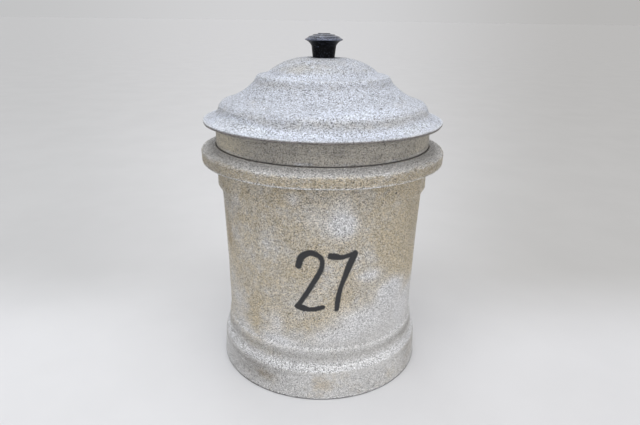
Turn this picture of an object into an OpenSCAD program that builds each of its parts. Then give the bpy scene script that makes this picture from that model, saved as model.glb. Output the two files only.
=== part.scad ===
// Covered apothecary jar: sand-cast aluminium body and stepped lid with a black moulded knob.
// Every revolved piece is drawn as half a section, with radius along X and height along Y.

/* [Foot] */
// Height of the side of the foot
foot_side_h = 19; // [14:0.5:28]
// How much the side of the foot narrows upwards, as a radius
foot_draft = 0.7; // [0.2:0.1:2]
// Height of the rounded shoulder above that side
shoulder_h = 10; // [6:0.5:14]
// How far the shoulder draws in
shoulder_w = 3.4; // [2:0.2:6]
// How far the rounded shoulder bulges from a straight chamfer
shoulder_bulge = 0.8; // [0.2:0.1:1.4]
// Height of the riser between the shoulder and the upper ledge
riser_h = 11.5; // [7:0.5:16]
// How far that riser draws in
riser_w = 1.3; // [0.4:0.1:3]
// Width of the ledge at the bottom of the barrel
ledge_w = 1.3; // [0.6:0.1:3]
// Height of the slope on that ledge
ledge_h = 2; // [1:0.2:4]
// Width of the ring that the jar stands on
foot_ring_w = 11; // [6:0.5:16]
// Depth of the hollow under the base
base_recess = 6; // [3:0.5:9]

/* [Barrel] */
// Diameter of the barrel at its top
barrel_d = 163.8; // [140:0.2:200]
// How much the barrel narrows downwards, as a radius
barrel_taper = 2.9; // [0.5:0.1:6]
// Length of the barrel
barrel_h = 104; // [80:1:140]
// How far the side of the barrel draws in from a straight line
barrel_hollow = 0.5; // [0.1:0.1:2]
// Wall of the jar
wall = 5.7; // [4:0.1:8]
// Thickness of the floor
floor_t = 6; // [4:0.5:9]
// Radius of the inside corner at the floor
floor_fillet = 12; // [6:1:20]

/* [Neck and rim] */
// How far the neck stands out from the barrel
neck_w = 3.3; // [1.5:0.1:6]
// Height of the hollow curve between barrel and neck
neck_cove_h = 9.8; // [6:0.2:14]
// Depth of that curve from its chord
neck_cove_sag = 0.9; // [0.2:0.1:1.6]
// Height of the upright neck
neck_h = 19.2; // [12:0.2:28]
// How far the rim stands out from the neck
rim_w = 12.1; // [8:0.1:18]
// Height of the side of the rim
rim_side_h = 9.2; // [6:0.2:14]
// How far the top of the rim rises from its outer edge to the mouth
rim_rise = 3.4; // [1:0.2:6]
// How much smaller the rim is at its lower edge, as a radius
rim_lean = 0.4; // [0:0.1:1.5]
// Depth of the recess in the rim that holds the lid
seat_depth = 8; // [4:0.5:10]

/* [Lid collar and brim] */
// Height of the turned collar that shows between rim and brim
collar_show = 16.8; // [8:0.2:28]
// Wall of the collar
collar_wall = 5.6; // [4:0.1:8]
// Gap between collar and recess, as a radius
collar_play = 0.4; // [0.3:0.05:0.8]
// How far the brim stands out from the collar
brim_w = 9.4; // [5:0.1:16]
// Thickness of the lip of the brim
lip_t = 2.9; // [2:0.1:4.5]

/* [Lid top] */
// How far the lower step lies in from the edge of the brim
low_step_in = 15; // [11:0.1:19]
// Height from the lip up to the lower step
low_step_h = 12.8; // [8:0.1:16]
// Depth of the hollow curve below the lower step
low_cove_sag = 3; // [0.5:0.1:4]
// Width of the bevel that breaks the edge of the lower step
low_bevel_w = 2.5; // [1:0.1:4]
// Height of that bevel
low_bevel_h = 2.9; // [1:0.1:4]
// How far the upper step lies in from the lower one
high_step_in = 27.9; // [24:0.1:34]
// Height from the lower step up to the upper step
high_step_h = 19.7; // [14:0.1:28]
// Depth of the hollow curve between the lower step and the riser of the upper one
high_cove_sag = 1.9; // [0.5:0.1:4]
// How far the riser of the upper step leans out towards its foot
riser_lean = 3.1; // [1:0.1:5]
// Height of that riser
high_riser_h = 5.3; // [3:0.1:8]
// Width of the narrow flat on the upper step
terrace_w = 8.2; // [4:0.1:10]
// Rise of that flat towards the dome
terrace_rise = 1.7; // [0.4:0.1:3]
// Height of the dome
dome_h = 11.3; // [8:0.1:18]
// Diameter of the flat crown of the dome
crown_d = 28; // [24:0.5:36]
// Wall of the lid
lid_wall = 5; // [3.5:0.1:7]

/* [Knob] */
// Height of the knob
knob_h = 18.4; // [14:0.2:26]
// Diameter of the knob at its foot
knob_foot_d = 17; // [14:0.2:19]
// Diameter of the stem just under the cap
knob_stem_d = 19; // [16:0.2:22]
// Diameter of the cap
knob_cap_d = 29.4; // [24:0.2:36]
// Height of the stem
knob_stem_h = 9; // [6:0.2:14]
// Height of the flare from the stem to the cap
knob_flare_h = 4.4; // [3:0.2:6]
// Thickness of the edge of the cap
cap_edge_t = 0.6; // [0.4:0.1:1.2]
// Height of each ring moulded on the cap
cap_ring_h = 0.45; // [0.2:0.05:0.8]
// Depth of the spot face that the knob stands in
spot_depth = 0.4; // [0.2:0.1:1]
// Gap round the foot of the knob in its spot face, as a radius
spot_play = 0.5; // [0.2:0.1:1]

/* [Knob fixing] */
// Diameter of the fixing screw
screw_d = 5; // [4:0.5:6]
// Gap round the screw in the lid, as a radius
screw_play = 0.3; // [0.1:0.05:0.6]
// Gap between mating threads, drawn plain, as a radius
thread_play = 0.03; // [0.02:0.01:0.08]
// Length of screw inside the knob
screw_grip = 8; // [6:0.5:9]
// Diameter of the screw head
screw_head_d = 8.5; // [8:0.1:10]
// Height of the screw head
screw_head_h = 3.3; // [2.6:0.1:4.5]
// Width of the slot in the screw head
slot_w = 1.2; // [0.8:0.1:1.6]
// Depth of that slot
slot_depth = 1.4; // [1:0.1:1.8]
// Outer diameter of the threaded insert in the knob
insert_d = 8; // [7.5:0.1:9]
// Length of the insert
insert_h = 10.5; // [9.5:0.5:12]
// Diameter of the boss under the lid
boss_d = 19; // [14:0.5:26]
// Thickness of the lid at that boss
boss_t = 7; // [6:0.5:10]
// Outer diameter of the flat washer
flat_washer_d = 12; // [10:0.5:16]
// Thickness of the flat washer
flat_washer_t = 1; // [0.6:0.1:1.6]
// Outer diameter of the spring washer
spring_washer_d = 9.2; // [8:0.1:11]
// Thickness of the spring washer
spring_washer_t = 1.2; // [0.8:0.1:1.8]
// Width of the split in the spring washer
washer_split = 0.9; // [0.5:0.1:1.5]

/* [Hidden] */
$fn = 96;
bite = 1;

// Edge rounds of the castings and of the moulded knob
edge_r = 0.8;
soft_r = 2.4;
ring_bevel = 0.25;

// Radius of each ring on the cap as a share of the cap's own radius, outermost first
cap_ring_shares = [0.8, 0.57, 0.32];

// Heights, stacked from the table up
shoulder_z = foot_side_h + shoulder_h;
ledge_z = shoulder_z + riser_h;
barrel_z = ledge_z + ledge_h;
barrel_top_z = barrel_z + barrel_h;
neck_z = barrel_top_z + neck_cove_h;
rim_z = neck_z + neck_h;
rim_side_top_z = rim_z + rim_side_h;
rim_top_z = rim_side_top_z + rim_rise;
seat_z = rim_top_z - seat_depth;
floor_z = base_recess + floor_t;
brim_z = rim_top_z + collar_show;
lip_top_z = brim_z + lip_t;
low_step_z = lip_top_z + low_step_h;
high_step_z = low_step_z + high_step_h;
terrace_z = high_step_z + terrace_rise;
crown_z = terrace_z + dome_h;
knob_z = crown_z - spot_depth;
boss_z = knob_z - boss_t;
spring_z = boss_z - flat_washer_t;
head_z = spring_z - spring_washer_t;

// Radii of the jar, from the barrel outwards
barrel_r = barrel_d / 2;
barrel_low_r = barrel_r - barrel_taper;
ledge_r = barrel_low_r + ledge_w;
shoulder_r = ledge_r + riser_w;
foot_top_r = shoulder_r + shoulder_w;
foot_r = foot_top_r + foot_draft;
neck_r = barrel_r + neck_w;
mouth_r = neck_r - wall;
rim_r = neck_r + rim_w;

// Radii of the lid: its collar stands in line with the neck
collar_r = neck_r;
collar_in_r = collar_r - collar_wall;
seat_r = collar_r + collar_play;
brim_r = collar_r + brim_w;
low_step_r = brim_r - low_step_in;
high_step_r = low_step_r - high_step_in;
terrace_r = high_step_r - terrace_w;
crown_r = crown_d / 2;
spot_r = knob_foot_d / 2 + spot_play;
screw_r = screw_d / 2;
screw_hole_r = screw_r + screw_play;
tapped_r = screw_r + thread_play;
insert_r = insert_d / 2;
pocket_r = insert_r + thread_play;

// Point at distance r from c in direction a
function polar(c, r, a) = c + r * [cos(a), sin(a)];

// Unit vector from a to b
function toward(a, b) = (b - a) / norm(b - a);

// First two numbers of a point, without its round
function bare(p) = [p[0], p[1]];

// Inner points of the arc from a to b that stands sag to the right of its chord
function arc_between(a, b, sag, steps) =
    let (chord = norm(b - a),
         radius = chord * chord / (8 * sag) + sag / 2,
         along = toward(a, b),
         left = [-along[1], along[0]],
         centre = (a + b) / 2 + left * (radius - sag),
         first = atan2(a[1] - centre[1], a[0] - centre[0]),
         sweep = 2 * asin(chord / (2 * abs(radius))) * sign(sag))
    [for (i = [1:steps - 1]) polar(centre, abs(radius), first + sweep * i / steps)];

// Points of a round on corner b between a and c, held inside both edges
function round_corner(a, b, c, radius, steps = 5) =
    let (u = toward(b, a),
         v = toward(b, c),
         half = acos(u * v) / 2,
         reach = min(radius / tan(half), 0.45 * norm(a - b), 0.45 * norm(c - b)),
         real_r = reach * tan(half),
         centre = b + (u + v) / norm(u + v) * real_r / sin(half),
         start = b + u * reach,
         end = b + v * reach,
         first = atan2(start[1] - centre[1], start[0] - centre[0]),
         last = atan2(end[1] - centre[1], end[0] - centre[0]),
         turn = (last - first + 540) % 360 - 180)
    [for (i = [0:steps]) polar(centre, real_r, first + turn * i / steps)];

// Closed outline with each corner rounded by its third number, where it has one
function rounded(path) =
    let (n = len(path))
    [for (i = [0:n - 1])
        let (p = path[i])
        each (len(p) == 3
            ? round_corner(bare(path[(i + n - 1) % n]), bare(p), bare(path[(i + 1) % n]), p[2])
            : [p])];

// Left-hand normal of the edge from a to b
function left_of(a, b) = let (d = toward(a, b)) [-d[1], d[0]];

// Open path moved to its left by t, corners mitred
function inset(path, t) =
    let (n = len(path))
    [for (i = [0:n - 1])
        let (before = left_of(path[max(i - 1, 0)], path[max(i, 1)]),
             after = left_of(path[min(i, n - 2)], path[min(i + 1, n - 1)]))
        path[i] + (before + after) * t / (1 + before * after)];

// Path in the other direction
function backwards(path) = [for (i = [len(path) - 1:-1:0]) path[i]];

// Outside of the barrel and neck, bottom to top
barrel_low = [barrel_low_r, barrel_z];
barrel_top = [barrel_r, barrel_top_z];
neck_low = [neck_r, neck_z];
barrel_curve = concat([barrel_low], arc_between(barrel_low, barrel_top, -barrel_hollow, 8), [barrel_top]);
neck_curve = concat(arc_between(barrel_top, neck_low, -neck_cove_sag, 6), [neck_low]);
barrel_inside = inset(concat(barrel_curve, neck_curve, [[neck_r, rim_z]]), wall);
barrel_inside_rest = [for (i = [1:len(barrel_inside) - 2]) barrel_inside[i]];

// Where the inner wall would meet the floor
floor_corner = [barrel_inside[0][0], floor_z, floor_fillet];

// Outside of the lid, from its lip to its crown
lip_top = [brim_r, lip_top_z];
low_step = [low_step_r, low_step_z];
low_bevel = [low_step_r + low_bevel_w, low_step_z - low_bevel_h];
high_step = [high_step_r, high_step_z];
riser_foot = [high_step_r + riser_lean, high_step_z - high_riser_h];
terrace_end = [terrace_r, terrace_z];
crown_edge = [crown_r, crown_z];
dome_run = terrace_r - crown_r;
dome_r = (dome_run * dome_run + dome_h * dome_h) / (2 * dome_h);
dome_sweep = asin(dome_run / dome_r);
dome_steps = 12;
dome_curve = [for (i = [1:dome_steps - 1])
    polar([crown_r, crown_z - dome_r], dome_r, 90 - dome_sweep * (1 - i / dome_steps))];
low_cove = arc_between(lip_top, low_bevel, -low_cove_sag, 8);
high_cove = arc_between(low_step, riser_foot, -high_cove_sag, 8);
lid_upper = concat([low_step], high_cove, [riser_foot, high_step, terrace_end], dome_curve, [crown_edge]);
lid_inside = inset(lid_upper, lid_wall);
throat = lid_inside[0];
throat_low = [collar_in_r, throat[1] - abs(collar_in_r - throat[0])];

// Solid made by turning a closed outline about the axis
module turned(outline) {
    rotate_extrude() polygon(outline);
}

// Jar: foot ring, moulded foot, barrel, neck and rim in one casting
module jar_body() {
    ring_in = foot_r - foot_ring_w;
    color([0.66, 0.62, 0.55])
    turned(rounded(concat(
        [[0, base_recess], [ring_in - base_recess / 2, base_recess, soft_r], [ring_in, 0, edge_r],
         [foot_r, 0, edge_r], [foot_top_r, foot_side_h]],
        arc_between([foot_top_r, foot_side_h], [shoulder_r, shoulder_z], shoulder_bulge, 6),
        [[shoulder_r, shoulder_z, soft_r], [ledge_r, ledge_z, edge_r]],
        barrel_curve,
        neck_curve,
        [[neck_r, rim_z, edge_r], [rim_r - rim_lean, rim_z, edge_r], [rim_r, rim_side_top_z, soft_r],
         [seat_r, rim_top_z, edge_r / 2], [seat_r, seat_z], [mouth_r, seat_z, edge_r]],
        backwards(barrel_inside_rest),
        [floor_corner, [0, floor_z]])));
}

// Lid: turned collar, brim, two steps and dome, hollow inside, with a boss for the screw
module lid() {
    boss_r = boss_d / 2;
    inner_crown_z = crown_z - lid_wall;
    color([0.80, 0.80, 0.81])
    turned(rounded(concat(
        [[collar_in_r, seat_z, edge_r], [collar_r, seat_z, edge_r], [collar_r, brim_z, edge_r],
         [brim_r, brim_z, lip_t / 2], [brim_r, lip_top_z, lip_t / 2]],
        low_cove,
        [concat(low_bevel, [edge_r]), concat(low_step, [edge_r])],
        high_cove,
        [riser_foot, concat(high_step, [edge_r]), concat(terrace_end, [soft_r])],
        dome_curve,
        [crown_edge, [spot_r, crown_z], [spot_r, knob_z], [screw_hole_r, knob_z],
         [screw_hole_r, boss_z], [boss_r, boss_z, edge_r], [boss_r, inner_crown_z, edge_r]],
        backwards([for (p = lid_inside) if (p[0] > boss_r + edge_r) p]),
        [throat_low])));
}

// Knob: moulded stem, flared cap with concentric rings, and a pocket for the insert
module knob() {
    foot_r = knob_foot_d / 2;
    stem_top = [knob_stem_d / 2, knob_z + knob_stem_h];
    cap_low = [knob_cap_d / 2, stem_top[1] + knob_flare_h];
    cap_top = [cap_low[0], cap_low[1] + cap_edge_t];
    apex_z = knob_z + knob_h;
    cap_rise = apex_z - cap_top[1];
    rings = [for (share = cap_ring_shares)
        let (r = cap_top[0] * share,
             z = apex_z - cap_rise * share * share)
        each [[r + ring_bevel, z], [r, z + cap_ring_h]]];
    color([0.07, 0.07, 0.075])
    turned(concat(
        [[pocket_r, knob_z], [foot_r - ring_bevel, knob_z], [foot_r, knob_z + ring_bevel], stem_top],
        arc_between(stem_top, cap_low, -knob_flare_h / 6, 5),
        [cap_low, cap_top],
        rings,
        [[0, apex_z], [0, knob_z + insert_h], [pocket_r, knob_z + insert_h]]));
}

// Brass insert moulded into the knob, with a blind tapped hole
module knob_insert() {
    hole_top = knob_z + screw_grip + bite;
    color([0.76, 0.60, 0.30])
    turned([[tapped_r, knob_z], [insert_r, knob_z], [insert_r, knob_z + insert_h],
            [0, knob_z + insert_h], [0, hole_top], [tapped_r, hole_top]]);
}

// Slotted screw, head down inside the lid
module knob_screw() {
    head_r = screw_head_d / 2;
    head_low_z = head_z - screw_head_h;
    color([0.62, 0.62, 0.60])
    difference() {
        turned(rounded([[0, head_low_z], [head_r, head_low_z, edge_r], [head_r, head_z],
                        [screw_r, head_z], [screw_r, knob_z + screw_grip, edge_r / 2],
                        [0, knob_z + screw_grip]]));
        translate([-head_r - bite, -slot_w / 2, head_low_z - bite])
            cube([2 * (head_r + bite), slot_w, slot_depth + bite]);
    }
}

// Ring round the screw, its hole as wide as the hole in the lid
module washer(d, t, z) {
    turned([[screw_hole_r, z], [d / 2, z], [d / 2, z + t], [screw_hole_r, z + t]]);
}

// Flat washer that bears on the boss
module flat_washer() {
    color([0.66, 0.66, 0.65])
    washer(flat_washer_d, flat_washer_t, spring_z);
}

// Spring washer between the flat washer and the screw head, pressed flat, split on a slant
module spring_washer() {
    slant = 25;
    color([0.50, 0.50, 0.50])
    difference() {
        washer(spring_washer_d, spring_washer_t, head_z);
        translate([spring_washer_d / 2, 0, head_z + spring_washer_t / 2])
            rotate([slant, 0, 0])
                cube([spring_washer_d, washer_split, 4 * spring_washer_t], center = true);
    }
}

jar_body();
lid();
knob();
knob_insert();
knob_screw();
flat_washer();
spring_washer();
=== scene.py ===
import logging
import math
from collections.abc import Callable, Iterable
from dataclasses import dataclass, field
from enum import Enum

import bpy
import numpy as np
from mathutils import Matrix


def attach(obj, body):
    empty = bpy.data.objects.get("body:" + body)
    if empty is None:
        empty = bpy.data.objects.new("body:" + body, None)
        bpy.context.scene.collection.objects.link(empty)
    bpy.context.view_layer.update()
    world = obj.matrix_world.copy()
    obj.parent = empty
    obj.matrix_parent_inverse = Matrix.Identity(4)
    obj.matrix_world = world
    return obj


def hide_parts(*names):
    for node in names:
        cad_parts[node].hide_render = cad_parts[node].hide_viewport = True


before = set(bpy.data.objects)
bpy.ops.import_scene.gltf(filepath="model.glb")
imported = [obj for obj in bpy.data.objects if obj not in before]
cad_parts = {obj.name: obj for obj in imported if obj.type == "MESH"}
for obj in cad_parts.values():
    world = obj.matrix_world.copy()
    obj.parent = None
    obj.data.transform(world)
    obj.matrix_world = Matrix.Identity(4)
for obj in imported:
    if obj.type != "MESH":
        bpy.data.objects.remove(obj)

# Covered apothecary jar: the looks of its castings, its moulded knob and the fixing inside.
# Sizes are in millimetres, as on a workshop drawing, and become metres when a mesh is made.
# Sections are drawn as radius and height, counter-clockwise, so outside is on the right.

log = logging.getLogger("jar")
MM = 0.001
FRONT = -math.pi / 2

# Distance that counts as far from any ink
NO_INK = 9.0

# Grains' uneven outlines in metres, and how many fine specks and pits lie along a metre
GRAIN_WOBBLE = 0.0004
FINE_PER_METRE = 2200.0
HOLES_PER_METRE = 150.0

FLOAT, VECTOR = "NodeSocketFloat", "NodeSocketVector"
Colour = tuple[float, float, float]
Socket = bpy.types.NodeSocket


class Skin(Enum):
    """How a stretch of a casting was left by its maker, with the row spacing that it needs."""

    CAST = 1.0
    TURNED = 1.1
    HIDDEN = 4.4


# Sections of turned pieces


def unit(vector: np.ndarray) -> np.ndarray:
    """Vector divided by its length."""
    return vector / np.linalg.norm(vector)


def arc_between(a: Iterable[float], b: Iterable[float], sag: float, steps: int = 20) -> np.ndarray:
    """Inner points of the circular arc that stands sag to the right of the chord from a to b.

    The radius is chord squared over eight sags, plus half a sag, and the points are evenly
    spaced in angle.

    Args:
        a: start, as radius and height.
        b: end.
        sag: height of the arc over its chord; negative bends it to the left.
        steps: number of segments.

    Returns:
        Array of steps - 1 points.
    """
    a, b = np.array(a, float), np.array(b, float)
    chord = np.linalg.norm(b - a)
    radius = chord**2 / (8 * sag) + sag / 2
    along = (b - a) / chord
    centre = (a + b) / 2 + np.array([-along[1], along[0]]) * (radius - sag)
    first = math.atan2(a[1] - centre[1], a[0] - centre[0])
    sweep = 2 * math.asin(chord / (2 * abs(radius))) * np.sign(sag)
    angle = first + sweep * np.arange(1, steps) / steps
    return centre + abs(radius) * np.stack([np.cos(angle), np.sin(angle)], axis=1)


def inset(path: np.ndarray, depth: float) -> np.ndarray:
    """Open path moved to its left, each point along the mitre of its two edges.

    Args:
        path: points of the path.
        depth: distance between the old and the new path.

    Returns:
        Array of as many points.
    """
    edge = np.diff(path, axis=0)
    edge /= np.linalg.norm(edge, axis=1, keepdims=True)
    left = np.stack([-edge[:, 1], edge[:, 0]], axis=1)
    before = np.vstack([left[:1], left])
    after = np.vstack([left, left[-1:]])
    share = 1 + np.sum(before * after, axis=1, keepdims=True)
    return path + (before + after) * depth / share


@dataclass
class Section:
    """Half section of a turned solid: corners with a round and a skin each.

    A corner's skin is that of the edge that leaves it.
    """

    closed: bool
    corners: list[tuple[float, float, float, Skin]] = field(default_factory=list)

    def corner(self, r: float, z: float, radius: float = 0.0, skin: Skin = Skin.CAST) -> None:
        """Adds one corner, rounded where radius isn't nought."""
        self.corners.append((r, z, radius, skin))

    def curve(self, points: np.ndarray, skin: Skin = Skin.CAST) -> None:
        """Adds the points of a curve, none of them rounded."""
        self.corners.extend((r, z, 0.0, skin) for r, z in points)

    def outline(self, steps: int = 6) -> tuple[np.ndarray, np.ndarray]:
        """Rounds the corners and fills long edges with rows.

        A corner's arc touches both edges, and reaches along them the radius over the tangent
        of half the angle between them, or 0.45 of the shorter edge. Each edge is then divided
        into the least number of equal parts that are no longer than its skin's spacing.

        Args:
            steps: segments in the arc of each corner.

        Returns:
            Points as an array of radius and height, and the spacing of each point's skin.
        """
        count = len(self.corners)
        place = np.array([c[:2] for c in self.corners])
        points: list[np.ndarray] = []
        spacing: list[float] = []
        for i, (_, _, radius, skin) in enumerate(self.corners):
            b = place[i]
            if radius <= 0:
                arc = b[None]
            else:
                to_a, to_c = place[i - 1] - b, place[(i + 1) % count] - b
                u, v = unit(to_a), unit(to_c)
                half = math.acos(float(np.clip(u @ v, -1, 1))) / 2
                reach = min(radius / math.tan(half), 0.45 * np.linalg.norm(to_a),
                            0.45 * np.linalg.norm(to_c))
                real = reach * math.tan(half)
                centre = b + unit(u + v) * real / math.sin(half)
                start, end = b + u * reach - centre, b + v * reach - centre
                first = math.atan2(start[1], start[0])
                turn = (math.atan2(end[1], end[0]) - first + math.pi) % (2 * math.pi) - math.pi
                angle = first + turn * np.linspace(0, 1, steps + 1)
                arc = centre + real * np.stack([np.cos(angle), np.sin(angle)], axis=1)
            points.append(arc)
            spacing += [skin.value] * len(arc)
        path = np.vstack(points)
        gap = np.array(spacing)
        ends = np.roll(path, -1, axis=0)
        length = np.linalg.norm(ends - path, axis=1)
        parts = np.maximum(np.ceil(length / gap).astype(int), 1)
        if not self.closed:
            parts[-1] = 1
        owner = np.repeat(np.arange(len(path)), parts)
        share = (np.arange(len(owner)) - np.repeat(np.cumsum(parts) - parts, parts)) / parts[owner]
        return path[owner] + (ends - path)[owner] * share[:, None], gap[owner]


def bend(path: np.ndarray, closed: bool, reach: float) -> np.ndarray:
    """How sharply the section turns near each point, outward corners positive.

    The turn at each point, in radians, is spread along the path by a bell curve and so
    becomes radians per reach.

    Args:
        path: points of the section.
        closed: whether the last point joins the first.
        reach: half width of the bell curve, in millimetres.

    Returns:
        One number for each point.
    """
    before = path - np.roll(path, 1, axis=0)
    after = np.roll(path, -1, axis=0) - path
    cross = before[:, 0] * after[:, 1] - before[:, 1] * after[:, 0]
    turn = np.arctan2(cross, np.sum(before * after, axis=1))
    if not closed:
        turn[[0, -1]] = 0
    along = np.cumsum(np.linalg.norm(before, axis=1))
    apart = np.abs(along[:, None] - along[None])
    if closed:
        apart = np.minimum(apart, along[-1] - along[0] - apart)
    return np.exp(-0.5 * (apart / reach) ** 2) @ turn


def outward(path: np.ndarray, closed: bool) -> np.ndarray:
    """Unit normal of the section at each point, to the right of its direction."""
    along = np.roll(path, -1, axis=0) - np.roll(path, 1, axis=0)
    if not closed:
        along[0], along[-1] = path[1] - path[0], path[-1] - path[-2]
    normal = np.stack([along[:, 1], -along[:, 0]], axis=1)
    return normal / np.maximum(np.linalg.norm(normal, axis=1, keepdims=True), 1e-9)


# Surfaces


@dataclass
class Unevenness:
    """The gentle lumps that a sand mould leaves, as a sum of plane waves in random directions."""

    seed: int
    longest: float
    shortest: float
    waves: int = 36

    def at(self, place: np.ndarray) -> np.ndarray:
        """Height of the lumps, from 0 to 1.

        Each wave is the sine of a wave vector times the place plus a phase. The vectors have
        random directions and lengths spread evenly in octaves, and longer waves are stronger.

        Args:
            place: points in millimetres.

        Returns:
            One number for each point.
        """
        chance = np.random.default_rng(self.seed)
        direction = chance.normal(size=(self.waves, 3))
        direction /= np.linalg.norm(direction, axis=1, keepdims=True)
        length = self.shortest * (self.longest / self.shortest) ** chance.random(self.waves)
        phase = chance.random(self.waves) * 2 * math.pi
        strength = length / np.sqrt(np.sum(length**2) / 2)
        wave = np.sin(place @ (direction * (2 * math.pi / length)[:, None]).T + phase)
        return np.clip(0.5 + 0.22 * (wave @ strength), 0, 1)


@dataclass
class Surface:
    """Mesh data of one piece, in millimetres, with numbers that vary over it."""

    points: np.ndarray
    quads: np.ndarray
    triangles: np.ndarray = field(default_factory=lambda: np.zeros((0, 3), int))
    marks: dict[str, np.ndarray] = field(default_factory=dict)

    def piece(self, name: str, material: bpy.types.Material) -> bpy.types.Object:
        """Puts the arrays into a new Blender object in metres, smooth shaded.

        Args:
            name: name of the piece.
            material: its finish.

        Returns:
            The new object.
        """
        mesh = bpy.data.meshes.new(name)
        index = np.concatenate([self.quads.ravel(), self.triangles.ravel()])
        sizes = np.concatenate([np.full(len(self.quads), 4), np.full(len(self.triangles), 3)])
        mesh.vertices.add(len(self.points))
        mesh.vertices.foreach_set("co", (self.points * MM).astype(np.float32).ravel())
        mesh.loops.add(len(index))
        mesh.loops.foreach_set("vertex_index", index.astype(np.int32))
        mesh.polygons.add(len(sizes))
        mesh.polygons.foreach_set("loop_start", (np.cumsum(sizes) - sizes).astype(np.int32))
        mesh.polygons.foreach_set("use_smooth", np.ones(len(sizes), bool))
        mesh.update(calc_edges=True)
        for mark, values in self.marks.items():
            layer = mesh.attributes.new(mark, "FLOAT", "POINT")
            layer.data.foreach_set("value", values.astype(np.float32))
        mesh.materials.append(material)
        piece = bpy.data.objects.new(name, mesh)
        bpy.context.scene.collection.objects.link(piece)
        return piece


def even_angles(count: int) -> np.ndarray:
    """Even angles over one turn, rising from minus half a turn."""
    return np.linspace(-math.pi, math.pi, count, endpoint=False)


def crowded_angles(count: int, crowd: float, width: float) -> np.ndarray:
    """Angles round the axis, closer together at the front.

    The density is one plus crowd times a bell curve about the front, and the angles are even
    steps of its running sum.

    Args:
        count: number of angles.
        crowd: extra density at the front.
        width: half width of the bell curve, in radians.

    Returns:
        Rising angles over one turn.
    """
    fine = np.linspace(-math.pi, math.pi, 20001)
    total = np.cumsum(1 + crowd * np.exp(-0.5 * (fine / width) ** 2))
    even = np.linspace(total[0], total[-1], count, endpoint=False)
    return FRONT + np.interp(even, total, fine)


def ring_faces(rows: int, columns: int, closed: bool) -> np.ndarray:
    """Quads between neighbouring rings of a grid of vertices.

    The quad of row i and column j has the corners (i, j), (i, j + 1), (i + 1, j + 1) and
    (i + 1, j), where columns wrap round, and rows too on a closed section.

    Args:
        rows: number of rings.
        columns: vertices in each ring.
        closed: whether the last ring joins the first.

    Returns:
        Array of four vertex numbers for each quad.
    """
    i = np.arange(rows if closed else rows - 1)[:, None]
    j = np.arange(columns)[None]
    next_i, next_j = (i + 1) % rows, (j + 1) % columns
    return np.stack([i * columns + j, i * columns + next_j, next_i * columns + next_j,
                     next_i * columns + j], axis=2).reshape(-1, 4)


def turned(path: np.ndarray, angles: np.ndarray, closed: bool) -> Surface:
    """Surface of revolution of a section: row i, column j at the section's point i, angle j.

    An open section starts and ends on the axis, and each end becomes one vertex with a fan
    of triangles.

    Args:
        path: points of the section.
        angles: angles round the axis, rising.
        closed: whether the section is a ring away from the axis.

    Returns:
        The surface, with rows in order and the two poles last.
    """
    ring = path if closed else path[1:-1]
    rows, columns = len(ring), len(angles)
    r, z = ring[:, :1], ring[:, 1:]
    points = np.stack([r * np.cos(angles), r * np.sin(angles), z + 0 * angles], axis=2).reshape(-1, 3)
    quads = ring_faces(rows, columns, closed)
    if closed:
        return Surface(points, quads)
    here = np.arange(columns)
    there = (here + 1) % columns
    low, high, top = len(points), len(points) + 1, (rows - 1) * columns
    fans = np.vstack([np.stack([there, here, np.full(columns, low)], axis=1),
                      np.stack([top + here, top + there, np.full(columns, high)], axis=1)])
    poles = np.array([[0, 0, path[0, 1]], [0, 0, path[-1, 1]]])
    return Surface(np.vstack([points, poles]), quads, fans)


def softened(values: np.ndarray, path: np.ndarray, reach: float) -> np.ndarray:
    """Values of a section, averaged over the points within a reach of each."""
    gap = np.hypot(path[:, :1] - path[:, 0], path[:, 1:] - path[:, 1])
    weight = np.exp(-(gap / reach) ** 2)
    return weight @ values / weight.sum(axis=1)


def ramp(value: np.ndarray, start: float | np.ndarray, width: float) -> np.ndarray:
    """Straight rise from 0 at the start to 1 at a width beyond it."""
    return np.clip((value - start) / width, 0, 1)


def bell(value: np.ndarray, middle: float, half: float) -> np.ndarray:
    """Bell curve: 1 in the middle and one over e at a half width from it."""
    return np.exp(-((value - middle) / half) ** 2)


class Turning:
    """A section turned round the axis, with the measures that its marks are worked out from."""

    def __init__(self, section: Section, angles: np.ndarray, steps: int = 6) -> None:
        """Turns the section.

        Args:
            section: the half section.
            angles: angles round the axis, rising.
            steps: segments in the arc of each corner.
        """
        self.closed = section.closed
        self.path, self.gap = section.outline(steps)
        self.made = turned(self.path, angles, self.closed)
        self.columns = len(angles)
        ends = [] if self.closed else [FRONT, FRONT]
        rings = len(self.path) - len(ends)
        self.around = np.concatenate([np.tile(angles, rings), ends])

    def over(self, values: np.ndarray) -> np.ndarray:
        """Spreads one number for each section point over the vertices."""
        if self.closed:
            return np.repeat(values, self.columns)
        return np.concatenate([np.repeat(values[1:-1], self.columns), values[[0, -1]]])

    def skin(self, which: Skin) -> np.ndarray:
        """1 at each section point with that skin, and 0 elsewhere."""
        return np.where(self.gap == which.value, 1.0, 0.0)

    def bend(self, reach: float) -> np.ndarray:
        """How sharply the section turns near each of its points."""
        return bend(self.path, self.closed, reach)

    def x(self) -> np.ndarray:
        """Place of each vertex round the surface, to the right from the front."""
        return (self.around - FRONT) * self.over(self.path[:, 0])

    def sink(self, lumps: Unevenness, share: np.ndarray, depth: float = 0.35) -> None:
        """Pushes the skin inwards along its normal by what the lumps leave.

        Args:
            lumps: unevenness of the mould.
            share: how far each section point may move, from 0 to 1.
            depth: greatest push, in millimetres.
        """
        out, up = (self.over(part) for part in outward(self.path, self.closed).T)
        lean = np.stack([out * np.cos(self.around), out * np.sin(self.around), up], axis=1)
        push = depth * (1 - lumps.at(self.made.points)) * self.over(share)
        self.made.points -= lean * push[:, None]


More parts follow.
